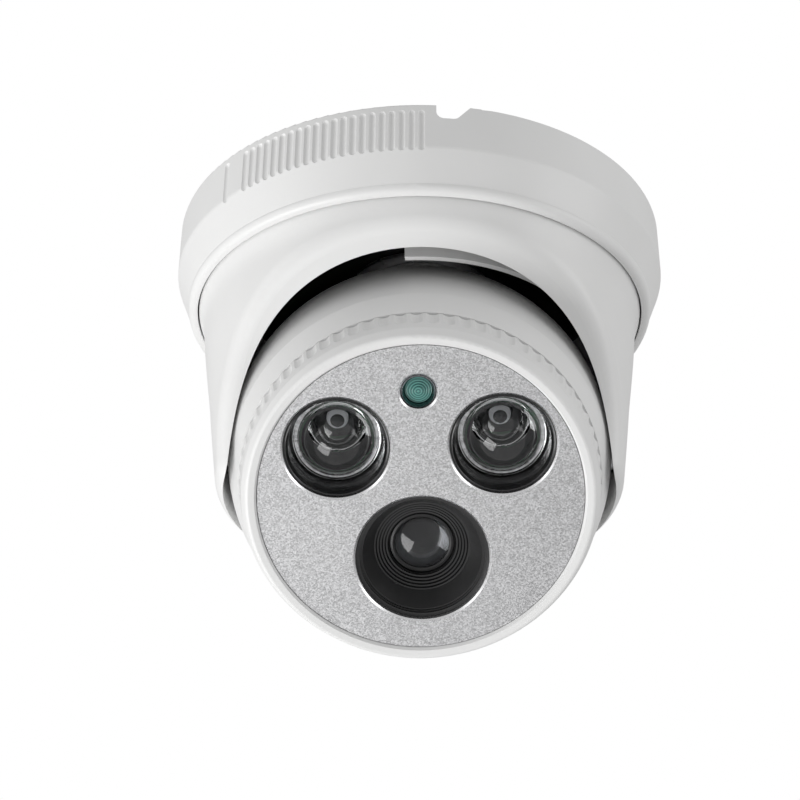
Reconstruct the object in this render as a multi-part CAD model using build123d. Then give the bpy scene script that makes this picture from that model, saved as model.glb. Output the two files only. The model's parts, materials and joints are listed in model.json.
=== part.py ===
from build123d import *

import os
from math import atan2, cos, degrees, radians, sin, sqrt, tan

# Ceiling-mounted turret security camera, in millimetres.
# The origin is the centre of the mounting face, +Z points up into the ceiling and the lens looks
# forward along -Y. Five bodies move on each other: the twist ring round the mounting plate, the
# turret that pans in it, the ball that tilts in the turret, the head that rotates in the ball's
# mouth, and the filter carriage that slides behind the lens.

# Mounting plate and its hub
PLATE_R = 49.6
PLATE_T = 6.0
FOOT_R = 45.5
FOOT_Z = -8.0
HUB_R = 12.92
HUB_BORE_R = 9.6
HUB_END_Z = -13.4
HUB_FLANGE_T = 2.0
HUB_FLANGE_R = 26.0
HUB_SCREW_R = 21.0
HUB_SCREWS = (30, 150, 210, 330)
CLIP_R = 16.0
CLIP_Z = -12.3
CLIP_T = 0.9
STOP_R_IN = 30.0
STOP_R_OUT = 34.0
STOP_WIDTH = 7.0
CABLE_HOLE_R = 9.0
CHANNEL_W = 7.2
CHANNEL_D = 4.4
SCREW_PCD = 80.0
SCREW_HOLE_R = 2.25
LUG_ANGLES = (90, 210, 330)

# Twist ring
RING_R = 55.0
CREASE_R = 55.35
CREASE_Z = -11.4
SHOULDER_R = 52.65
SHOULDER_Z = -18.9
LIP_R = 50.55
LIP_Z = -20.75
RING_BORE_R = 52.4
LEDGE_Z = -12.4
GROOVES = 24
GROOVE_PITCH = 2.2
GROOVE_FIRST = -51.4
GROOVE_R = 0.95
GROOVE_DEPTH = 0.36
GROOVE_TOP_Z = -1.4
GROOVE_END_Z = -12.5
NOTCH_ANGLE = 6.2
NOTCH_D = 3.6
CHANNEL_X = RING_R * sin(radians(NOTCH_ANGLE))

# Turret
DECK_TOP = -10.0
DECK_T = 2.0
DECK_R = 52.0
DECK_SCREW_R = 46.2
SHELL_R = 50.2
SHELL_SEAM_Z = -20.4
SHELL_BORE_R = 43.2
SHELL_END_R = 44.7
SHELL_END_Z = -66.0
MOUTH_Y = -73.8
MOUTH_Z = -89.4
MOUTH_R = 67.9
MOUTH_ROUNDING = 4.6
CHEEK_TIP_R = 5.0
BUSH_R = 4.2
BUSH_OUT = 44.2
PIN_R = 2.5
PIN_PLAY = 0.06
CORNERS = (45, 135, 225, 315)

# Ball, and the head in its mouth. Heights H_ run forward from the ball's centre.
BALL_Z = -56.0
BALL_R = 42.4
BALL_WALL = 2.2
LOOK_DOWN = 51.2
HEAD_ROLL = 2.2
H_TAPER = 9.0
H_SEAM = 15.4
SEAM_R = 39.35
LIP_BORE_R = 37.0
H_BEZEL = 24.6
BEZEL_R = 37.7
H_FACE = 23.75
FACE_T = 1.5
FACE_R = 35.0
SKIRT_R = 36.7
SKIRT_BORE_R = 34.9
H_SKIRT = 8.6
KNURLS = 72
KNURL_R = 2.4
KNURL_DEPTH = 0.3
H_KNURL = 20.2
RETAINER_SCREW_R = 35.8
RETAINER_SCREWS = (30, 150, 270)

# Windows in the face plate
LED_X = 17.7
LED_Y = 12.1
LED_HOLE_R = 11.45
LENS_Y = -14.05
LENS_HOLE_R = 14.5
EYE_Y = 24.45
EYE_HOLE_R = 3.85
BRIGHT_CUT = 0.4

# Boards and optics
H_IR_BOARD = 10.0
H_LED_FLANGE = 18.5
LED_DOME_R = 7.25
HOOD_STEPS = 5
HOOD_STEP_R = 10.45
HOOD_STEP_W = 0.65
H_HOOD_STEP = 17.0
HOOD_STEP_H = 0.3
BOARD_T = 1.5
H_SENSOR_BOARD = -12.6
H_MAIN_BOARD = -21.0
BOARD_SCREW_R = 24.0
FACE_POSTS = [(-29.0, -6.0), (29.0, -6.0), (0, 8.0)]
BOARD_POSTS = [(x, LENS_Y + y) for x in (-11.5, 11.5) for y in (-9.0, 9.0)]
POST_HOLE_R = 1.0
FILTER_TRAVEL = 5.6

ball_frame = Plane(
    origin=(0, 0, BALL_Z),
    x_dir=(1, 0, 0),
    z_dir=(0, -cos(radians(LOOK_DOWN)), -sin(radians(LOOK_DOWN))),
)


def disc(r, top, bottom):
    """Solid disc about Z between two heights."""
    return Pos(0, 0, bottom) * Cylinder(r, top - bottom, align=(Align.CENTER, Align.CENTER, Align.MIN))


def tube(r_out, r_in, top, bottom):
    """Ring about Z between two heights."""
    return disc(r_out, top, bottom) - disc(r_in, top, bottom)


def block(x, y, top, bottom):
    """Rectangular block centred on Z between two heights."""
    return Pos(0, 0, bottom) * Box(x, y, top - bottom, align=(Align.CENTER, Align.CENTER, Align.MIN))


def turned(outline):
    """Solid of revolution about Z from a closed outline in radius and height."""
    return revolve(Plane.XZ * make_face(outline), Axis.Z)


def sector(r_out, r_in, top, bottom, middle, width):
    """Part of a ring, width degrees wide and centred on an angle from +X."""
    reach = 2 * r_out
    rise = reach * tan(radians(width / 2))
    wedge = Polyline((0, 0), (reach, -rise), (reach, rise), close=True)
    slice_ = Pos(0, 0, bottom) * extrude(make_face(wedge), top - bottom)
    return Rot(0, 0, middle) * (tube(r_out, r_in, top, bottom) & slice_)


def ring_of(part, radius, angles):
    """Copies of a part at one radius, at each angle from +X."""
    return [Rot(0, 0, a) * Pos(radius, 0, 0) * part for a in angles]


def at(x, y, part):
    return Pos(x, y, 0) * part


def in_ball(part):
    return ball_frame.location * part


def in_head(part):
    return ball_frame.location * Rot(0, 0, HEAD_ROLL) * part


def save(name, part):
    solids = part.solids() if hasattr(part, "solids") else [s for p in part for s in p.solids()]
    shape = solids[0] if len(solids) == 1 else Compound(children=list(solids))
    export_step(shape, f"parts/{name}.step")


# ---------------------------------------------------------------- base body

def mounting_plate():
    """Moulded plate that is screwed to the ceiling, with bayonet lugs for the twist ring."""
    plate = disc(PLATE_R, 0, -PLATE_T)
    for a in LUG_ANGLES:
        plate += sector(PLATE_R + 2.3, PLATE_R - 1, -3.8, -PLATE_T, a, 36)
    plate -= disc(CABLE_HOLE_R, 1, -PLATE_T - 1)
    channel = Box(CHANNEL_W, PLATE_R + 10, CHANNEL_D + 2)
    channel = Pos(CHANNEL_X, -PLATE_R / 2 - 5, 1 - CHANNEL_D / 2) * channel
    plate -= channel
    plate -= tube(46.5, 43.5, 1, -1.0)
    hole = disc(SCREW_HOLE_R, 1, -PLATE_T - 1)
    sink = Cone(4.6, SCREW_HOLE_R, 2.35, align=(Align.CENTER, Align.CENTER, Align.MIN))
    sink = Pos(0, 0, -PLATE_T) * sink
    for cut in ring_of(hole, SCREW_PCD / 2, LUG_ANGLES) + ring_of(sink, SCREW_PCD / 2, LUG_ANGLES):
        plate -= cut
    for screw in ring_of(hub_screw(), HUB_SCREW_R, HUB_SCREWS):
        plate -= screw
    return plate


def pan_hub():
    """Flanged hollow hub under the plate: the turret turns on its neck and stops on its lug."""
    flange_z = -PLATE_T - HUB_FLANGE_T
    hub = disc(HUB_FLANGE_R, -PLATE_T, flange_z) + disc(HUB_R, -PLATE_T, HUB_END_Z)
    hub += sector(STOP_R_OUT, HUB_FLANGE_R - 1, -PLATE_T, DECK_TOP + 0.4, 90, STOP_WIDTH)
    hub -= disc(HUB_BORE_R, 1, HUB_END_Z - 1)
    hub -= tube(HUB_R + 1, HUB_R - 1, CLIP_Z, CLIP_Z - CLIP_T)
    for screw in ring_of(hub_screw(), HUB_SCREW_R, HUB_SCREWS):
        hub -= screw
    return hub


def hub_screw():
    """Countersunk screw up through the hub's flange into the plate."""
    flange_z = -PLATE_T - HUB_FLANGE_T
    head = Pos(0, 0, flange_z) * Cone(2.1, 1.1, 1.0, align=(Align.CENTER, Align.CENTER, Align.MIN))
    return head + disc(1.1, -2.5, flange_z + 1)


def plate_foot():
    """Raised rim under the plate that carries the friction ring."""
    return tube(PLATE_R, FOOT_R, -PLATE_T, FOOT_Z)


def mount_gasket():
    """Foam ring inlaid in the plate's ceiling side, cut away at the side cable channel."""
    gap = Pos(CHANNEL_X, -PLATE_R, 0) * Box(CHANNEL_W + 0.4, 20, 8)
    return tube(46.4, 43.6, 0, -1.0) - gap


def friction_ring():
    """Low-friction ring under the plate's foot that the turret's deck slides on."""
    return tube(PLATE_R - 0.3, FOOT_R + 0.3, FOOT_Z, DECK_TOP + 0.3)


def hub_clip():
    """Split spring clip in the hub's groove that keeps the turret up when the ring is off."""
    clip = tube(CLIP_R, HUB_R - 0.95, CLIP_Z - 0.05, CLIP_Z - CLIP_T + 0.05)
    return clip - Pos(0, HUB_R + 1, CLIP_Z - CLIP_T / 2) * Box(3.0, 6.0, 2.0)


# ---------------------------------------------------------------- twist ring body

def lock_ring():
    """Ribbed twist ring with a cable notch in its ceiling edge and a rolled lower lip."""
    wall = Polyline((RING_BORE_R, 0), (RING_R, 0), (CREASE_R, CREASE_Z), (SHOULDER_R, SHOULDER_Z))
    lip = ThreePointArc((SHOULDER_R, SHOULDER_Z), (SHOULDER_R - 0.35, -20.25), (LIP_R, LIP_Z))
    inner = Polyline((LIP_R, LIP_Z), (LIP_R, LEDGE_Z), (RING_BORE_R, LEDGE_Z), (RING_BORE_R, 0))
    ring = turned(wall + lip + inner)
    crease = ring.edges().filter_by(GeomType.CIRCLE).filter_by(
        lambda e: abs(e.radius - CREASE_R) < 0.01 and abs(e.center().Z - CREASE_Z) < 0.01
    )
    ring = fillet(crease, 1.6)
    rim = ring.edges().filter_by(GeomType.CIRCLE).filter_by(
        lambda e: abs(e.radius - RING_R) < 0.01 and abs(e.center().Z) < 0.01
    )
    ring = fillet(rim, 0.5)
    for a in LUG_ANGLES:
        ring += sector(RING_BORE_R + 0.5, PLATE_R + 0.4, -0.8, -3.5, a, 30)
    length = GROOVE_TOP_Z - GROOVE_END_Z - 2 * GROOVE_R
    groove = disc(GROOVE_R, 0, -length) + Sphere(GROOVE_R) + Pos(0, 0, -length) * Sphere(GROOVE_R)
    lean = -degrees(atan2(CREASE_R - RING_R, -CREASE_Z))
    groove = Pos(RING_R - GROOVE_DEPTH + GROOVE_R, 0, GROOVE_TOP_Z - GROOVE_R) * Rot(0, lean, 0) * groove
    for i in range(GROOVES):
        ring -= Rot(0, 0, -90 + GROOVE_FIRST + i * GROOVE_PITCH) * groove
    corners = Polyline((-3.5, 1), (-3.5, -NOTCH_D), (0.9, -NOTCH_D), (4.1, 0), (5.0, 1), close=True)
    notch = extrude(make_face(corners), 12)
    bottom = notch.edges().filter_by(Axis.Z).filter_by(lambda e: abs(e.center().Y + NOTCH_D) < 0.01)
    notch = fillet(bottom, 1.7)
    turn = radians(-90 + NOTCH_ANGLE)
    side = Plane(origin=(0, 0, 0), x_dir=(-sin(turn), cos(turn), 0), z_dir=(cos(turn), sin(turn), 0))
    return ring - side.location * Pos(0, 0, 46) * notch


def lock_pad():
    """Rubber ring on the twist ring's ledge that grips the turret's deck."""
    return tube(RING_BORE_R - 0.1, LIP_R + 0.1, LEDGE_Z + 0.3, LEDGE_Z)


# ---------------------------------------------------------------- turret body

def turret_shell():
    """Hooded shell round the ball: a tapered cylinder whose front is scooped away."""
    top = DECK_TOP - DECK_T
    flank = Spline(
        (SHELL_R, SHELL_SEAM_Z), (49.25, -23.4), (48.65, -28.0), (47.0, -43.5), (SHELL_END_R, SHELL_END_Z),
        tangents=[(-0.25, -1), (-0.107, -1)],
    )
    outline = Polyline((SHELL_BORE_R, top), (SHELL_R, top), (SHELL_R, SHELL_SEAM_Z)) + flank
    outline += Polyline((SHELL_END_R, SHELL_END_Z), (SHELL_BORE_R, SHELL_END_Z), (SHELL_BORE_R, top))
    shell = turned(outline)
    shell -= Pos(0, MOUTH_Y, MOUTH_Z) * Rot(0, 90, 0) * Cylinder(MOUTH_R, 3 * SHELL_R)
    tips = shell.edges().filter_by(GeomType.LINE).filter_by(lambda e: e.length < 4)
    shell = fillet(tips, CHEEK_TIP_R)
    shell = fillet(shell.edges().filter_by(on_outer_rim), MOUTH_ROUNDING)
    for side in (1, -1):
        shell -= Pos(0, 0, BALL_Z) * Rot(0, 90 * side, 0) * disc(BUSH_R, BUSH_OUT, 30)
    for screw in ring_of(deck_screw(), DECK_SCREW_R, CORNERS):
        shell -= screw
    return shell


def on_outer_rim(edge):
    """True for an edge of the shell's lower rim that lies on its outside."""
    points = [edge @ t for t in (0.1, 0.5, 0.9)]
    below_seam = all(p.Z < SHELL_SEAM_Z - 0.2 for p in points)
    outside = all(sqrt(p.X**2 + p.Y**2) > SHELL_BORE_R + 1 for p in points)
    return below_seam and outside and edge.geom_type != GeomType.LINE


def turret_deck():
    """Plate across the shell's top that turns on the hub and is clamped by the twist ring."""
    deck = tube(DECK_R, HUB_R + 0.08, DECK_TOP, DECK_TOP - DECK_T)
    deck += sector(STOP_R_OUT, STOP_R_IN, DECK_TOP + 3.6, DECK_TOP, -90, STOP_WIDTH)
    for cut in ring_of(deck_screw(), DECK_SCREW_R, CORNERS):
        deck -= cut
    return deck


def deck_screw():
    """Countersunk screw, head flush with the deck."""
    head = Pos(0, 0, DECK_TOP - 1.15) * Cone(1.0, 2.1, 1.1, align=(Align.CENTER, Align.CENTER, Align.MIN))
    return head + disc(1.0, DECK_TOP - 1.1, -18)


def wire_guard():
    """Curved fence under the deck that keeps the leads clear of the ball's rim."""
    return sector(38.2, 36.8, DECK_TOP - DECK_T, -28.0, -90 + 20, 52)


def tilt_bush(side):
    """Plastic bush in the shell's cheek for one tilt pin."""
    ring = tube(BUSH_R, PIN_R + PIN_PLAY, BUSH_OUT, SHELL_BORE_R - 0.1)
    return Pos(0, 0, BALL_Z) * Rot(0, 90 * side, 0) * ring


# ---------------------------------------------------------------- ball body

def ball_shell():
    """Hollow ball, open at the front for the head, with a recessed cable entry at the back."""
    taper_r = sqrt(BALL_R**2 - H_TAPER**2)
    inner_r = BALL_R - BALL_WALL
    step_r = sqrt(inner_r**2 - H_TAPER**2)
    half_way = Vector(cos(radians(-38)), sin(radians(-38)))
    outer = ThreePointArc((0, -BALL_R), half_way * BALL_R, (taper_r, H_TAPER))
    mouth = Polyline(
        (taper_r, H_TAPER), (SEAM_R, H_SEAM), (LIP_BORE_R, H_SEAM), (LIP_BORE_R, H_TAPER), (step_r, H_TAPER)
    )
    inner = ThreePointArc((step_r, H_TAPER), half_way * inner_r, (0, -inner_r))
    shell = turned(outer + mouth + inner + Line((0, -inner_r), (0, -BALL_R)))
    inside = Sphere(BALL_R - 0.5)
    shell += disc(10.3, -33.5, -41) & inside
    shell -= disc(8.5, -35.5, -BALL_R - 1)
    shell -= disc(4.0, -30, -BALL_R - 1)
    for boss in ring_of(disc(2.6, H_MAIN_BOARD - BOARD_T, -38), BOARD_SCREW_R, CORNERS):
        shell += boss & inside
    for screw in ring_of(board_screw(), BOARD_SCREW_R, CORNERS):
        shell -= screw
    for side in (1, -1):
        shell += Rot(0, 90 * side, 0) * disc(5.0, 41.2, 35.5)
    for side in (1, -1):
        shell -= Rot(0, 90 * side, 0) * disc(PIN_R, BALL_R + 1, 36.5)
    return shell


def tilt_pin(side):
    """Steel pin pressed into the ball's boss, running in the cheek's bush."""
    pin = chamfer(disc(PIN_R, 43.9, 36.5).edges(), 0.3)
    return Rot(0, 90 * side, 0) * pin


def cable_gland():
    """Rubber grommet for the lead, sitting in the recess at the back of the ball."""
    body = disc(5.6, -35.5, -39.5) + disc(4.0, -33.5, -35.5) + disc(3.4, -30.0, -33.5)
    return body - disc(2.5, -29, -41)


def gland_nut():
    """Hexagonal nut that holds the grommet from inside the ball."""
    return Pos(0, 0, -33.5) * extrude(RegularPolygon(6.2, 6), 2.4) - disc(3.4, -30, -34)


def main_board():
    """Round processor board across the back of the ball."""
    board = disc(29.0, H_MAIN_BOARD, H_MAIN_BOARD - BOARD_T)
    for screw in ring_of(board_screw(), BOARD_SCREW_R, CORNERS):
        board -= screw
    return board


def board_screw():
    """Pan-head screw from the front of the main board into a boss."""
    return disc(2.0, H_MAIN_BOARD + 1.3, H_MAIN_BOARD) + disc(1.0, H_MAIN_BOARD, -30)


def processor():
    return block(14, 14, H_MAIN_BOARD - BOARD_T, H_MAIN_BOARD - BOARD_T - 1.6)


def thermal_pad():
    return block(13, 13, H_MAIN_BOARD - BOARD_T - 1.6, H_MAIN_BOARD - BOARD_T - 2.6)


def heat_sink():
    """Finned aluminium block on the processor."""
    top = H_MAIN_BOARD - BOARD_T - 2.6
    sink = block(22, 22, top, top - 4.2)
    for i in range(5):
        sink -= Pos(-8.0 + 4.0 * i, 0, 0) * block(2.0, 24, top - 1.6, top - 5)
    return sink


def board_connectors():
    """Two plug headers on the front of the main board."""
    header = block(9, 5, H_MAIN_BOARD + 3.0, H_MAIN_BOARD)
    header -= block(7.4, 3.4, H_MAIN_BOARD + 4, H_MAIN_BOARD + 0.8)
    return [at(-14, 12, header), at(14, 12, header)]


# ---------------------------------------------------------------- head body

def front_ring():
    """Knurled front ring: the grip, the bright bezel, and the skirt that turns in the ball."""
    h_rear = H_SEAM + 0.35
    front = Polyline((SEAM_R - 0.05, h_rear), (38.45, 22.3), (BEZEL_R, 24.0))
    bezel = ThreePointArc((BEZEL_R, 24.0), (37.35, 24.45), (36.8, H_BEZEL))
    inner = Polyline(
        (36.8, H_BEZEL), (35.6, H_BEZEL - 0.15), (FACE_R + 0.15, H_FACE), (FACE_R + 0.15, H_FACE - FACE_T - 0.6),
        (33.2, H_FACE - FACE_T - 0.6), (33.2, 20.0), (SKIRT_BORE_R, 18.6), (SKIRT_BORE_R, H_SKIRT),
        (SKIRT_R, H_SKIRT), (SKIRT_R, h_rear), (SEAM_R - 0.05, h_rear),
    )
    ring = turned(front + bezel + inner)
    ring -= o_ring(0.62)
    lean = degrees(atan2(SEAM_R - 38.45, 22.3 - h_rear))
    scoop = Cylinder(KNURL_R, 12, align=(Align.CENTER, Align.CENTER, Align.MAX)) + Sphere(KNURL_R)
    wall_r = SEAM_R - (SEAM_R - 38.45) * (H_KNURL - h_rear) / (22.3 - h_rear)
    scoop = Pos(wall_r + KNURL_R - KNURL_DEPTH, 0, H_KNURL - 1.0) * Rot(0, -lean, 0) * scoop
    for i in range(KNURLS):
        ring -= Rot(0, 0, i * 360 / KNURLS) * scoop
    for screw in ring_of(retainer_screw(), RETAINER_SCREW_R, RETAINER_SCREWS):
        ring -= screw
    return ring


def o_ring(thick):
    return Pos(0, 0, 12.2) * Torus(SKIRT_R - 0.55, thick)


def face_plate():
    """Sandblasted aluminium disc with bright-cut windows for lamps, lens and light sensor."""
    plate = disc(FACE_R, H_FACE, H_FACE - FACE_T)
    lamp_windows = [(-LED_X, LED_Y, LED_HOLE_R), (LED_X, LED_Y, LED_HOLE_R)]
    for x, y, r in [*lamp_windows, (0, LENS_Y, LENS_HOLE_R), (0, EYE_Y, EYE_HOLE_R)]:
        plate -= at(x, y, disc(r, H_FACE + 1, H_FACE - 3))
        edge = Cone(r, r + BRIGHT_CUT, BRIGHT_CUT, align=(Align.CENTER, Align.CENTER, Align.MIN))
        plate -= Pos(x, y, H_FACE - BRIGHT_CUT) * edge
    return plate


def face_gasket():
    """Flat rubber ring under the rim of the face plate."""
    return tube(FACE_R, 33.4, H_FACE - FACE_T, H_FACE - FACE_T - 0.6)


def head_retainer():
    """Ring on the end of the skirt that stops the head coming out of the ball."""
    ring = tube(37.95, 33.6, H_SKIRT, H_SKIRT - 2)
    for screw in ring_of(retainer_screw(), RETAINER_SCREW_R, RETAINER_SCREWS):
        ring -= screw
    return ring


def retainer_screw():
    return disc(1.4, H_SKIRT - 2, H_SKIRT - 3) + disc(0.7, H_SKIRT + 2.4, H_SKIRT - 2)


def led_collar():
    """Black light shield from the window down to the lamp board, with a ledge for the lens."""
    under = H_FACE - FACE_T
    outline = Polyline(
        (10.7, H_IR_BOARD), (10.7, under - 1.2), (11.6, under - 1.2), (11.6, under), (11.2, under),
        (11.2, H_FACE - 1.0), (10.8, H_FACE - 0.8), (10.3, H_FACE - 1.6), (9.8, H_LED_FLANGE - 1.3),
        (8.4, H_LED_FLANGE - 1.3), (8.4, H_LED_FLANGE - 2.3), (9.6, H_LED_FLANGE - 3.0), (9.6, H_IR_BOARD),
        (10.7, H_IR_BOARD),
    )
    return turned(outline)


def led_lens():
    """Clear dome lens with a stepped flange, held in the collar over the emitter."""
    rise = sqrt(LED_DOME_R**2 - 7.0**2)
    middle = H_LED_FLANGE + 0.3 - rise
    skirt = Polyline(
        (0, 13.4), (6.8, 13.4), (7.4, H_LED_FLANGE - 1.3), (9.6, H_LED_FLANGE - 1.3), (9.6, H_LED_FLANGE - 0.4),
        (9.2, H_LED_FLANGE), (8.3, H_LED_FLANGE), (8.1, H_LED_FLANGE - 0.35), (7.5, H_LED_FLANGE - 0.35),
        (7.0, H_LED_FLANGE + 0.3),
    )
    quarter = radians(60)
    dome = ThreePointArc(
        (7.0, H_LED_FLANGE + 0.3),
        (LED_DOME_R * cos(quarter), middle + LED_DOME_R * sin(quarter)),
        (0, middle + LED_DOME_R),
    )
    lens = turned(skirt + dome + Line((0, middle + LED_DOME_R), (0, 13.4)))
    return lens - Pos(0, 0, 12.6) * Sphere(3.2)


def led_emitter():
    """Array lamp: square base, round well and a dome of resin over the dice."""
    base = block(8.4, 8.4, H_IR_BOARD + 1.1, H_IR_BOARD) + disc(3.0, H_IR_BOARD + 1.5, H_IR_BOARD)
    return base + (Pos(0, 0, H_IR_BOARD + 0.6) * Sphere(2.2) & disc(3, H_IR_BOARD + 4, H_IR_BOARD + 1))


def ir_board():
    """Lamp board behind the face plate, with a hole for the lens."""
    board = disc(33.0, H_IR_BOARD, H_IR_BOARD - BOARD_T)
    board -= at(0, LENS_Y, disc(9.6, H_IR_BOARD + 1, 0))
    for x, y in FACE_POSTS + BOARD_POSTS:
        board -= at(x, y, disc(POST_HOLE_R, H_IR_BOARD + 1, 0))
    return board


def face_posts():
    """Three posts that carry the lamp board off the back of the face plate."""
    post = disc(2.2, H_FACE - FACE_T, H_IR_BOARD) - disc(POST_HOLE_R, H_IR_BOARD + 5, H_IR_BOARD)
    return [at(x, y, post) for x, y in FACE_POSTS]


def ir_board_screws():
    under = H_IR_BOARD - BOARD_T
    screw = disc(1.9, under, under - 1.2) + disc(POST_HOLE_R, H_IR_BOARD + 4.5, under)
    return [at(x, y, screw) for x, y in FACE_POSTS]


def lens_hood():
    """Black glare hood: a ledge, a plain cone and a floor of fine steps down to the lens."""
    steps = []
    for i in range(HOOD_STEPS):
        r = HOOD_STEP_R - i * HOOD_STEP_W
        h = H_HOOD_STEP - i * HOOD_STEP_H
        steps += [(r, h), (r - 0.35, h), (r - 0.35, h - 0.55)]
    floor_r, floor_h = HOOD_STEP_R - HOOD_STEPS * HOOD_STEP_W, H_HOOD_STEP - HOOD_STEPS * HOOD_STEP_H
    under = H_FACE - FACE_T - 0.1
    outline = Polyline(
        (15.8, under), (13.6, under), (13.6, 21.6), (13.3, 21.6), (13.3, 21.2), (12.95, 21.2), *steps,
        (floor_r, floor_h), (floor_r, 14.0), (9.4, 14.0), (13.9, 18.5), (13.9, under - 1.2), (15.8, under - 1.2),
        (15.8, under),
    )
    return at(0, LENS_Y, turned(outline))


def lens_barrel():
    """Threaded lens barrel with a narrow front rim round the glass."""
    outline = Polyline(
        (6.05, 15.1), (6.4, 15.35), (6.85, 15.2), (6.85, 13.6), (8.8, 13.6), (8.8, 9.0), (5.9, 9.0), (5.9, -4.0),
        (3.4, -4.0), (3.4, 11.0), (5.95, 12.6), (6.05, 15.1),
    )
    return at(0, LENS_Y, turned(outline))


def front_element():
    """Front glass of the lens, domed forward."""
    glass_r, edge_h, rise = 5.95, 14.8, 1.95
    dome_r = (glass_r**2 + rise**2) / (2 * rise)
    dome = Pos(0, 0, edge_h + rise - dome_r) * Sphere(dome_r) & disc(glass_r, edge_h + 3, edge_h)
    return at(0, LENS_Y, disc(glass_r, edge_h, 12.7) + dome)


def rear_element():
    return at(0, LENS_Y, disc(3.4, -1.5, -3.5))


def lens_nut():
    """Knurled ring that locks the barrel once it is focused."""
    nut = tube(8.4, 5.9, 8.4, 6.6)
    for a in range(0, 360, 30):
        nut -= Rot(0, 0, a) * Pos(8.9, 0, 0) * disc(0.9, 9, 6)
    return at(0, LENS_Y, nut)


def lens_mount():
    """Threaded holder that stands on the filter housing and carries the barrel."""
    holder = tube(8.0, 5.9, 6.5, -6.8) + (block(20.4, 13, -5.3, -6.8) - disc(6.5, -5, -7))
    return at(0, LENS_Y, holder)


def ircut_housing():
    """Box behind the lens with a slideway for the two filters."""
    box = block(20.6, 10.4, -6.8, -11.4)
    box -= block(18.6, 7.2, -8.2, -10.4)
    box -= disc(2.9, -6, -12)
    return at(0, LENS_Y, box)


def ircut_motor():
    """Coil that throws the filter carriage."""
    return at(0, LENS_Y + 7.4, block(8, 4.4, -7.0, -11.2))


def ircut_carriage():
    """Slide with two round seats, day filter and night filter."""
    slide = block(12.4, 6.6, -8.5, -10.1)
    for x in (-FILTER_TRAVEL / 2, FILTER_TRAVEL / 2):
        slide -= at(x, 0, disc(2.45, -8, -11))
    return at(-FILTER_TRAVEL / 2, LENS_Y, slide)


def filter_glass(x):
    return at(x - FILTER_TRAVEL / 2, LENS_Y, disc(2.45, -9.0, -9.6))


def sensor_board():
    """Small square board that carries the image sensor."""
    board = block(28, 23, H_SENSOR_BOARD, H_SENSOR_BOARD - BOARD_T)
    board = at(0, LENS_Y, board)
    for x, y in BOARD_POSTS:
        board -= at(x, y, disc(POST_HOLE_R, -10, -20))
    return board


def image_sensor():
    chip = block(9, 8, H_SENSOR_BOARD + 1.1, H_SENSOR_BOARD)
    chip -= block(6, 4.6, H_SENSOR_BOARD + 2, H_SENSOR_BOARD + 0.7)
    return at(0, LENS_Y, chip)


def board_posts():
    """Four posts between the lamp board and the sensor board."""
    post = extrude(RegularPolygon(2.2, 6), H_IR_BOARD - BOARD_T - H_SENSOR_BOARD)
    post = Pos(0, 0, H_SENSOR_BOARD) * post
    post -= disc(POST_HOLE_R, H_SENSOR_BOARD + 5, H_SENSOR_BOARD)
    return [at(x, y, post) for x, y in BOARD_POSTS]


def sensor_board_screws():
    under = H_SENSOR_BOARD - BOARD_T
    screw = disc(1.9, under, under - 1.2) + disc(POST_HOLE_R, H_SENSOR_BOARD + 4.5, under)
    return [at(x, y, screw) for x, y in BOARD_POSTS]


def sensor_connector():
    under = H_SENSOR_BOARD - BOARD_T
    return at(0, LENS_Y, block(10, 3, under, under - 1.4))


def eye_bezel():
    """Dark bright-turned ring round the light sensor."""
    outline = Polyline((3.7, 20.5), (3.7, 23.2), (3.45, 23.45), (3.0, 22.6), (3.0, 20.5), (3.7, 20.5))
    return at(0, EYE_Y, turned(outline))


def light_sensor():
    """Light sensor: potted body, clear front of rising steps, and two leads to the lamp board."""
    sensor = disc(2.85, 22.3, 19.0)
    for i in range(4):
        sensor += disc(2.4 - 0.45 * i, 22.5 + 0.2 * i, 22.0)
    for x in (-1.2, 1.2):
        sensor += Pos(x, 0, 0) * disc(0.3, 19.0, H_IR_BOARD)
    return at(0, EYE_Y, sensor)


os.makedirs("parts", exist_ok=True)

save("mounting_plate", mounting_plate())
save("pan_hub", pan_hub())
save("hub_screws", ring_of(hub_screw(), HUB_SCREW_R, HUB_SCREWS))
save("plate_foot", plate_foot())
save("mount_gasket", mount_gasket())
save("friction_ring", friction_ring())
save("hub_clip", hub_clip())
save("lock_ring", lock_ring())
save("lock_pad", lock_pad())
save("turret_shell", turret_shell())
save("turret_deck", turret_deck())
save("deck_screws", ring_of(deck_screw(), DECK_SCREW_R, CORNERS))
save("wire_guard", wire_guard())
save("tilt_bush_left", tilt_bush(-1))
save("tilt_bush_right", tilt_bush(1))
save("ball_shell", in_ball(ball_shell()))
save("tilt_pin_left", in_ball(tilt_pin(-1)))
save("tilt_pin_right", in_ball(tilt_pin(1)))
save("cable_gland", in_ball(cable_gland()))
save("gland_nut", in_ball(gland_nut()))
save("main_board", in_ball(main_board()))
save("main_board_screws", [in_ball(s) for s in ring_of(board_screw(), BOARD_SCREW_R, CORNERS)])
save("processor", in_ball(processor()))
save("thermal_pad", in_ball(thermal_pad()))
save("heat_sink", in_ball(heat_sink()))
save("board_connectors", [in_ball(c) for c in board_connectors()])
save("front_ring", in_head(front_ring()))
save("head_o_ring", in_head(o_ring(0.55)))
save("face_plate", in_head(face_plate()))
save("face_gasket", in_head(face_gasket()))
save("head_retainer", in_head(head_retainer()))
save("retainer_screws", [in_head(s) for s in ring_of(retainer_screw(), RETAINER_SCREW_R, RETAINER_SCREWS)])
for side, x in (("left", -LED_X), ("right", LED_X)):
    save(f"led_collar_{side}", in_head(at(x, LED_Y, led_collar())))
    save(f"led_lens_{side}", in_head(at(x, LED_Y, led_lens())))
    save(f"led_emitter_{side}", in_head(at(x, LED_Y, led_emitter())))
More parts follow.
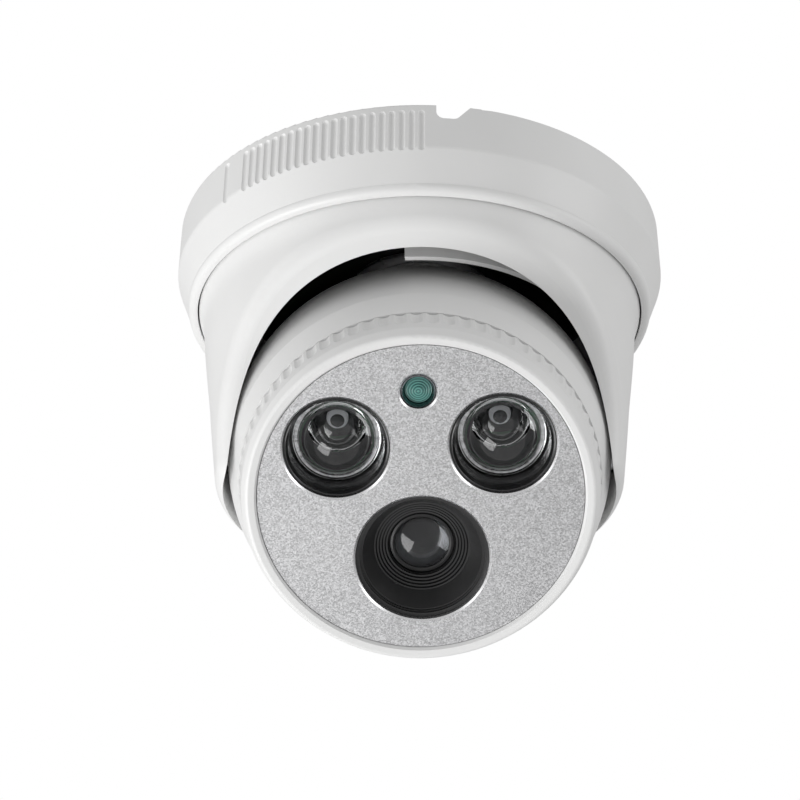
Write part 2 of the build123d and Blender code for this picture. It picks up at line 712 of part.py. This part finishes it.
save("ir_board", in_head(ir_board()))
save("ir_board_screws", [in_head(s) for s in ir_board_screws()])
save("face_posts", [in_head(p) for p in face_posts()])
save("lens_hood", in_head(lens_hood()))
save("lens_barrel", in_head(lens_barrel()))
save("front_element", in_head(front_element()))
save("rear_element", in_head(rear_element()))
save("lens_nut", in_head(lens_nut()))
save("lens_mount", in_head(lens_mount()))
save("ircut_housing", in_head(ircut_housing()))
save("ircut_motor", in_head(ircut_motor()))
save("ircut_carriage", in_head(ircut_carriage()))
save("night_filter", in_head(filter_glass(-FILTER_TRAVEL / 2)))
save("day_filter", in_head(filter_glass(FILTER_TRAVEL / 2)))
save("sensor_board", in_head(sensor_board()))
save("image_sensor", in_head(image_sensor()))
save("board_posts", [in_head(p) for p in board_posts()])
save("sensor_board_screws", [in_head(s) for s in sensor_board_screws()])
save("sensor_connector", in_head(sensor_connector()))
save("eye_bezel", in_head(eye_bezel()))
save("light_sensor", in_head(light_sensor()))
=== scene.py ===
import json
from math import cos, pi, radians, sin

import bpy
from mathutils import Matrix, Vector

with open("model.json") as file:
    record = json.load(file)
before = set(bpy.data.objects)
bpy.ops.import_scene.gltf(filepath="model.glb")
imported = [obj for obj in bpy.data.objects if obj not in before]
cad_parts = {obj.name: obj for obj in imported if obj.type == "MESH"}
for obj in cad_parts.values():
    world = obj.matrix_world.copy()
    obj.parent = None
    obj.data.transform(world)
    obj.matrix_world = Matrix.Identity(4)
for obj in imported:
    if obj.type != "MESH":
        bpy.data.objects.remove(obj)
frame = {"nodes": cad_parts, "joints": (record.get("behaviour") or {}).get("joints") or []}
nodes = frame["nodes"]
joints = {joint["name"]: joint for joint in frame["joints"]}
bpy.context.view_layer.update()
bpy.ops.object.select_all(action="DESELECT")


# ---------------------------------------------------------------- studio
# A pale floor well below the ceiling camera, three soft lamps and an even white surround.
# The key lamp is low on the left, so the right-hand side falls into soft grey.

middle = Vector((0, 0, -0.0415))
camera_turn = radians(-1.2)
camera_drop = radians(29.95)
camera_distance = 0.5984
back = Vector((sin(camera_turn) * cos(camera_drop), -cos(camera_turn) * cos(camera_drop), -sin(camera_drop)))

lens_data = bpy.data.cameras.new("camera")
lens_data.lens = 120
lens_data.sensor_width = 36
lens_data.shift_x = -0.0244
lens_data.clip_start = 0.01
lens_data.clip_end = 20
camera = bpy.data.objects.new("camera", lens_data)
camera.location = middle + back * camera_distance
camera.rotation_mode = "QUATERNION"
camera.rotation_quaternion = (-back).to_track_quat("-Z", "Y")
bpy.context.scene.collection.objects.link(camera)
bpy.context.scene.camera = camera
bpy.context.scene.view_settings.view_transform = "Standard"

bpy.ops.mesh.primitive_plane_add(size=6, location=(0, 0, -0.85))
floor = bpy.context.active_object
floor.name = "floor"
floor_paint = bpy.data.materials.new("floor_paint")
floor_paint.use_nodes = True
floor_paint.node_tree.nodes["Principled BSDF"].inputs["Base Color"].default_value = (0.8, 0.8, 0.8, 1)
floor_paint.node_tree.nodes["Principled BSDF"].inputs["Roughness"].default_value = 0.7
floor.data.materials.append(floor_paint)

world = bpy.data.worlds.new("surround")
bpy.context.scene.world = world
world.use_nodes = True
surround = world.node_tree.nodes["Background"]
seen = world.node_tree.nodes.new("ShaderNodeLightPath")
strength = world.node_tree.nodes.new("ShaderNodeMix")
strength.inputs["A"].default_value = 0.51
strength.inputs["B"].default_value = 1.0
world.node_tree.links.new(seen.outputs["Is Camera Ray"], strength.inputs["Factor"])
world.node_tree.links.new(strength.outputs["Result"], surround.inputs["Strength"])
surround.inputs["Color"].default_value = (1, 1, 1, 1)


def soft_lamp(name, place, width, height, power):
    """Rectangular softbox that faces the camera being lit."""
    data = bpy.data.lights.new(name, "AREA")
    data.shape = "RECTANGLE"
    data.size = width
    data.size_y = height
    data.energy = power
    lamp = bpy.data.objects.new(name, data)
    lamp.location = place
    lamp.rotation_mode = "QUATERNION"
    lamp.rotation_quaternion = (middle - Vector(place)).to_track_quat("-Z", "Y")
    bpy.context.scene.collection.objects.link(lamp)


soft_lamp("key_lamp", (-0.5, -0.1, -0.7), 0.5, 0.6, 5.2)
soft_lamp("left_lamp", (-0.8, -0.35, 0.1), 0.5, 0.6, 1.1)
soft_lamp("right_lamp", (0.8, -0.35, 0.1), 0.5, 0.6, 1.85)


# ---------------------------------------------------------------- ceiling plate
# Moulded plate screwed to the ceiling, with the hub that the turret turns on and the foot that
# its bearing ring sits under. Satin white ABS, faintly textured by the mould.


class Wire:
    """A socket in a material's tree. Arithmetic on it adds Math nodes."""

    def __init__(self, tree, socket):
        self.tree = tree
        self.socket = socket

    def node(self, kind, output=0, inputs=(), **settings):
        """Adds a node, its settings first, and returns one of its outputs."""
        made = self.tree.nodes.new("ShaderNode" + kind)
        for name, value in settings.items():
            setattr(made, name, value)
        for name, value in dict(inputs).items():
            if isinstance(value, Wire):
                self.tree.links.new(value.socket, made.inputs[name])
            else:
                made.inputs[name].default_value = value
        return Wire(self.tree, made.outputs[output])

    def maths(self, operation, *others):
        """Math node on this value and any others."""
        return self.node("Math", operation=operation, inputs=enumerate((self, *others)))

    def __add__(self, other):
        return self.maths("ADD", other)

    def __sub__(self, other):
        return self.maths("SUBTRACT", other)

    def __rsub__(self, other):
        return self * -1.0 + other

    def __mul__(self, other):
        return self.maths("MULTIPLY", other)

    def __gt__(self, other):
        return self.maths("GREATER_THAN", other)

    def __lt__(self, other):
        return self.maths("LESS_THAN", other)

    __radd__ = __add__
    __rmul__ = __mul__

    def blend(self, low, high):
        """Colour that goes from low to high as this value goes from 0 to 1."""
        ends = {0: self, 6: (*low, 1), 7: (*high, 1)}
        return self.node("Mix", output=2, data_type="RGBA", inputs=ends)

    def noise(self, cells, detail=2.0):
        """Cloudy noise over this vector, with so many cells to the metre."""
        return self.node("TexNoise", inputs={"Vector": self, "Scale": cells, "Detail": detail})

    def cells(self, count, output="Distance"):
        """Voronoi cells over this vector, so many to the metre."""
        return self.node("TexVoronoi", output=output, inputs={"Vector": self, "Scale": count})

    def turned(self, place, axes):
        """This vector measured from a place, along axes of its own."""
        spin = axes.to_euler()
        inputs = {"Vector": self, "Location": place, "Rotation": spin}
        return self.node("Mapping", vector_type="TEXTURE", inputs=inputs)

    def along(self, axis):
        """One coordinate of this vector."""
        return self.node("SeparateXYZ", output=axis, inputs={"Vector": self})

    def radius(self, x=0, y=0):
        """Distance of this vector from the line through x, y along Z."""
        across = self.along("X") - x
        up = self.along("Y") - y
        return (across * across + up * up).maths("SQRT")

    def bump(self, height, strength=1.0):
        """Surface normal of relief in this value, height metres from 0 to 1."""
        return self.node("Bump", inputs={"Height": self, "Distance": height, "Strength": strength})


def finish(name, paint, **constants):
    """Makes a material. paint wires what varies over the surface; constants go on the shader."""
    material = bpy.data.materials.new(name)
    material.use_nodes = True
    tree = material.node_tree
    shader = tree.nodes["Principled BSDF"]
    for key, value in constants.items():
        socket = shader.inputs[key.replace("_", " ").title().replace("Ior", "IOR")]
        socket.default_value = (*value, 1) if isinstance(value, tuple) else value
    where = Wire(tree, None).node("TexCoord", output="Object")
    for key, wire in paint(where).items():
        tree.links.new(wire.socket, shader.inputs[key])
    return material


def dress(material, *names):
    """Gives CAD nodes a finish in place of the plain one they came with."""
    for name in names:
        nodes[name].data.materials.clear()
        nodes[name].data.materials.append(material)


def moulded(where):
    drift = where.noise(60)
    grain = where.noise(9000, 3.0)
    return {
        "Base Color": drift.blend((0.78, 0.78, 0.775), (0.83, 0.83, 0.825)),
        "Roughness": 0.30 + drift * 0.08 + grain * 0.06,
        "Normal": grain.bump(0.00002, 0.25),
    }


white_plastic = finish("white_abs", moulded)
dress(white_plastic, "mounting_plate", "pan_hub", "plate_foot")


# ---------------------------------------------------------------- gasket
# Die-cut ring of closed-cell foam, stuck in a groove of the plate to seal it to the ceiling.


def foamed(where):
    pores = where.cells(1400)
    return {
        "Base Color": pores.blend((0.025, 0.025, 0.027), (0.075, 0.075, 0.078)),
        "Roughness": 0.95 - pores * 0.15,
        "Normal": pores.bump(0.0004, 0.8),
    }


dress(finish("foam", foamed), "mount_gasket")


# ---------------------------------------------------------------- bearing ring and tilt bushes
# Turned from natural acetal, a slightly waxy off-white plastic with fine tool marks.


def waxy(where):
    drift = where.noise(150)
    return {
        "Base Color": drift.blend((0.70, 0.68, 0.62), (0.78, 0.76, 0.70)),
        "Roughness": 0.36 + drift * 0.10,
        "Normal": where.noise(4000).bump(0.00001, 0.4),
    }


dress(finish("pom", waxy, subsurface_weight=0.05), "friction_ring", "tilt_bush_left", "tilt_bush_right")


# ---------------------------------------------------------------- spring clip, screws and pins
# Bright zinc over steel. The plating is a little cloudy and the screw heads carry fine scratches.


def plated(where):
    cloud = where.noise(500, 4.0)
    scratch = where.node("Mapping", inputs={"Vector": where, "Scale": (1, 1, 0.05)}).noise(12000)
    return {
        "Base Color": cloud.blend((0.52, 0.53, 0.55), (0.70, 0.70, 0.71)),
        "Roughness": 0.22 + cloud * 0.16,
        "Normal": scratch.bump(0.00001, 0.5),
    }


zinc = finish("zinc_steel", plated, metallic=1.0)
dress(zinc, "hub_clip", "hub_screws", "deck_screws", "tilt_pin_left", "tilt_pin_right")
dress(zinc, "main_board_screws", "retainer_screws", "ir_board_screws", "sensor_board_screws")


# ---------------------------------------------------------------- twist ring, turret and ball
# The outer mouldings, all of the same satin white ABS as the plate.

dress(white_plastic, "lock_ring", "turret_shell", "wire_guard", "ball_shell", "front_ring")


# ---------------------------------------------------------------- seals and grommet
# Soft black rubber: the pad in the twist ring, the head's two seals and the lead's grommet.


def rubbery(where):
    bloom = where.noise(400, 4.0)
    grain = where.noise(7000)
    return {
        "Base Color": bloom.blend((0.018, 0.018, 0.019), (0.04, 0.04, 0.041)),
        "Roughness": 0.62 + bloom * 0.2,
        "Normal": grain.bump(0.00003, 0.5),
    }


dress(finish("rubber", rubbery), "lock_pad", "cable_gland", "head_o_ring", "face_gasket")


# ---------------------------------------------------------------- black mouldings
# Matt black glass-filled nylon: the turret's deck, the nut, retainer, lens holder and switch.


def matt_black(where):
    flow = where.noise(300, 3.0)
    grain = where.noise(8000)
    return {
        "Base Color": flow.blend((0.012, 0.012, 0.012), (0.025, 0.025, 0.026)),
        "Roughness": 0.42 + flow * 0.12,
        "Normal": grain.bump(0.00003, 0.4),
    }


black_nylon = finish("black_nylon", matt_black)
dress(black_nylon, "turret_deck", "gland_nut", "head_retainer", "lens_mount")
dress(black_nylon, "ircut_housing", "ircut_motor", "ircut_carriage")


# ---------------------------------------------------------------- circuit boards
# Green solder mask over copper tracks: the main board, the lamp board and the sensor board.

ball_centre = Vector(joints["head_rotate"]["pos_m"])
look = Vector(joints["head_rotate"]["axis"])
rightward = Vector(joints["filter_shift"]["axis"])
head_axes = Matrix((rightward, look.cross(rightward), look)).transposed()


def soldered(where):
    here = where.turned(ball_centre, head_axes)
    layout = {"Vector": here, "Scale": 260, "Randomness": 0.9}
    tracks = here.node("TexVoronoi", distance="MANHATTAN", inputs=layout)
    lines = (tracks * 9.0).maths("FRACT") < 0.22
    pads = here.cells(420) < 0.16
    copper = lines.maths("MAXIMUM", pads)
    mask = copper.blend((0.010, 0.075, 0.028), (0.028, 0.17, 0.06))
    tinned = pads.node("Mix", output=2, data_type="RGBA", inputs={0: pads, 6: mask, 7: (0.55, 0.55, 0.52, 1)})
    return {
        "Base Color": tinned,
        "Metallic": pads * 0.9,
        "Roughness": 0.30 + pads * 0.05,
        "Normal": copper.bump(0.00004, 0.6),
    }


dress(finish("circuit_board", soldered, coat_weight=0.3), "main_board", "ir_board", "sensor_board")


# ---------------------------------------------------------------- chips
# Black epoxy packages with a fine moulded grain.


def epoxy(where):
    grain = where.noise(15000)
    return {
        "Base Color": grain.blend((0.012, 0.012, 0.013), (0.03, 0.03, 0.032)),
        "Roughness": 0.5 + grain * 0.15,
        "Normal": grain.bump(0.00002, 0.5),
    }


dress(finish("epoxy_package", epoxy), "processor", "image_sensor")


# ---------------------------------------------------------------- thermal pad
# Grey-blue silicone filled with ceramic powder.


def filled(where):
    powder = where.noise(5000, 3.0)
    return {
        "Base Color": powder.blend((0.24, 0.32, 0.44), (0.33, 0.42, 0.55)),
        "Roughness": 0.75 + powder * 0.1,
        "Normal": powder.bump(0.00004, 0.4),
    }


dress(finish("thermal_silicone", filled), "thermal_pad")


# ---------------------------------------------------------------- heat sink
# Extruded aluminium, drawn in lines along its fins.


def drawn(where):
    here = where.turned(ball_centre, head_axes)
    streaks = here.node("Mapping", inputs={"Vector": here, "Scale": (1, 0.03, 1)}).noise(9000)
    return {
        "Base Color": streaks.blend((0.55, 0.56, 0.57), (0.72, 0.72, 0.73)),
        "Roughness": 0.30 + streaks * 0.15,
        "Normal": streaks.bump(0.00002, 0.5),
    }


dress(finish("drawn_aluminium", drawn, metallic=1.0), "heat_sink")


# ---------------------------------------------------------------- plug headers
# Natural nylon, slightly translucent and cream coloured.


def natural(where):
    drift = where.noise(300)
    return {
        "Base Color": drift.blend((0.66, 0.62, 0.50), (0.76, 0.72, 0.61)),
        "Roughness": 0.40 + drift * 0.1,
        "Normal": where.noise(6000).bump(0.00002, 0.3),
    }


dress(finish("natural_nylon", natural), "board_connectors", "sensor_connector")


# ---------------------------------------------------------------- brass posts and lock nut
# Turned brass hexagon and round posts, with tool marks and a slightly dulled skin.


def brassy(where):
    tarnish = where.noise(350, 4.0)
    return {
        "Base Color": tarnish.blend((0.60, 0.44, 0.18), (0.80, 0.63, 0.30)),
        "Roughness": 0.24 + tarnish * 0.18,
        "Normal": where.noise(9000).bump(0.00001, 0.5),
    }


dress(finish("turned_brass", brassy, metallic=1.0), "face_posts", "board_posts", "lens_nut")


# ---------------------------------------------------------------- face plate
# Aluminium disc, sandblasted and anodised to a fine silver sparkle. The windows for the lamps,
# the lens and the light sensor are cut afterwards, so their chamfers are bright metal.


def span(node):
    """Lowest and highest corner of a CAD node, measured from the ball along the head's axes."""
    points = [head_axes.transposed() @ (v.co - ball_centre) for v in nodes[node].data.vertices]
    low = Vector([min(p[i] for p in points) for i in range(3)])
    high = Vector([max(p[i] for p in points) for i in range(3)])
    return low, high


# How far each window's chamfer reaches beyond the piece that fills the window, in metres.
chamfer_reach = {
    "led_collar_left": 0.00025,
    "led_collar_right": 0.00025,
    "lens_hood": -0.0009,
    "eye_bezel": 0.00055,
}
windows = []
for node, reach in chamfer_reach.items():
    low, high = span(node)
    windows.append(((low + high) / 2, (high.x - low.x) / 2 + reach))


def blasted(where):
    here = where.turned(ball_centre, head_axes)
    cut = here.radius(windows[0][0].x, windows[0][0].y) < windows[0][1]
    for centre, reach in windows[1:]:
        cut = cut.maths("MAXIMUM", here.radius(centre.x, centre.y) < reach)
    grit = here.cells(3800, "Color").along("X")
    fine = here.noise(6500, 3.0)
    cloud = here.noise(90, 3.0)
    shade = grit * 0.6 + fine * 0.3 + cloud * 0.1
    anodised = shade.blend((0.28, 0.28, 0.285), (0.84, 0.84, 0.85))
    bright = {0: cut, 6: anodised, 7: (0.95, 0.95, 0.96, 1)}
    return {
        "Base Color": here.node("Mix", output=2, data_type="RGBA", inputs=bright),
        "Metallic": 0.80 + cut * 0.2,
        "Roughness": 0.40 + grit * 0.14 - cut * 0.15,
        "Normal": ((grit * 0.5 + fine) * (1 - cut)).bump(0.00006, 0.5),
    }


dress(finish("blasted_aluminium", blasted), "face_plate")


# ---------------------------------------------------------------- infrared lamps
# Each has a glossy black shield, a clear moulded dome lens and an array lamp at the bottom.


plated_reach = 0.0091
lamp_axes = [sum(span(node), Vector()) / 2 for node in ("led_emitter_left", "led_emitter_right")]


def around_lamps(here):
    """Distance from the nearer lamp's axis."""
    left, right = (here.radius(centre.x, centre.y) for centre in lamp_axes)
    return left.maths("MINIMUM", right)


def shield(where):
    """Gloss black, with the ledge under the lens plated bright as a reflector."""
    plating = around_lamps(where.turned(ball_centre, head_axes)) < plated_reach
    flow = where.noise(200, 3.0)
    black = flow.blend((0.006, 0.006, 0.0065), (0.012, 0.012, 0.0125))
    colour = {0: plating, 6: black, 7: (0.92, 0.92, 0.93, 1)}
    return {
        "Base Color": where.node("Mix", output=2, data_type="RGBA", inputs=colour),
        "Metallic": plating * 0.95,
        "Roughness": 0.16 + flow * 0.10,
        "Normal": where.noise(3000).bump(0.00001, 0.3),
    }


lamp_shield = finish("lamp_shield", shield, coat_weight=0.4, coat_roughness=0.08)
dress(lamp_shield, "led_collar_left", "led_collar_right")


def clear(where):
    haze = where.noise(800, 3.0)
    return {
        "Base Color": haze.blend((0.93, 0.94, 0.95), (0.97, 0.98, 0.98)),
        "Roughness": haze * 0.03,
    }


dress(finish("clear_acrylic", clear, transmission_weight=1.0, ior=1.49), "led_lens_left", "led_lens_right")


def resin(where):
    """Dark array under clear resin, with a pale ring round it."""
    far = around_lamps(where.turned(ball_centre, head_axes))
    # A pale ring 1.1 to 1.7 mm from the lamp's axis, over the dark array.
    pale_ring = (far > 0.0011).maths("MULTIPLY", far < 0.0017)
    die = where.cells(2200)
    colour = {0: pale_ring, 6: die.blend((0.012, 0.012, 0.013), (0.03, 0.03, 0.032)), 7: (0.85, 0.86, 0.88, 1)}
    return {
        "Base Color": where.node("Mix", output=2, data_type="RGBA", inputs=colour),
        "Roughness": 0.25 + die * 0.3,
        "Normal": die.bump(0.0001, 0.4),
    }


dress(finish("lamp_resin", resin), "led_emitter_left", "led_emitter_right")


# ---------------------------------------------------------------- lens
# Satin black hood with fine steps against glare, barrel, coated glasses and filters.


def satin_black(where):
    flow = where.noise(200, 3.0)
    return {
        "Base Color": flow.blend((0.018, 0.018, 0.0185), (0.027, 0.027, 0.0275)),
        "Roughness": 0.34 + flow * 0.10,
        "Normal": where.noise(5000).bump(0.00001, 0.3),
    }


dress(finish("satin_black", satin_black), "lens_hood", "lens_barrel")


def coated(where):
    sweep = where.noise(120)
    return {
        "Base Color": sweep.blend((0.84, 0.86, 0.90), (0.90, 0.92, 0.95)),
        "Roughness": sweep * 0.02,
    }


coated_glass = finish("coated_glass", coated, transmission_weight=1.0, ior=1.5)
dress(coated_glass, "front_element", "rear_element")
dress(finish("filter_clear", clear, transmission_weight=1.0, ior=1.52), "night_filter")


def cyan(where):
    return {"Base Color": where.noise(300).blend((0.42, 0.72, 0.78), (0.50, 0.80, 0.84))}


dress(finish("filter_blue", cyan, transmission_weight=1.0, ior=1.52, roughness=0.02), "day_filter")


# ---------------------------------------------------------------- light sensor
# A small phototransistor behind a dark bright-turned bezel, its clear front stepped in rings.


def dark_chromed(where):
    tone = where.noise(900)
    return {
        "Base Color": tone.blend((0.20, 0.21, 0.22), (0.34, 0.35, 0.36)),
        "Roughness": 0.14 + tone * 0.08,
    }


dress(finish("dark_chrome", dark_chromed, metallic=1.0), "eye_bezel")


eye_centre = sum(span("light_sensor"), Vector()) / 2
eye_ring_pitch = 0.00055


def teal(where):
    """Blue-green resin, stepped in fine rings, with painted highlights: the colour is lighter along the crest
    of each step.
    """
    here = where.turned(ball_centre, head_axes)
    ring_steps_and_painted_highlight = (here.radius(eye_centre.x, eye_centre.y) * (2 * pi / eye_ring_pitch)).maths("SINE") * 0.5 + 0.5
    tone = where.noise(1500)
    return {
        # Painted highlight: the base colour runs from dark teal to light teal with each ring step, beside the
        # real relief of the bump.
        "Base Color": ring_steps_and_painted_highlight.blend((0.03, 0.12, 0.11), (0.10, 0.32, 0.28)),
        "Roughness": 0.12 + tone * 0.06,
        "Normal": ring_steps_and_painted_highlight.bump(0.00006, 0.7),
    }


dress(finish("teal_resin", teal, coat_weight=0.6), "light_sensor")
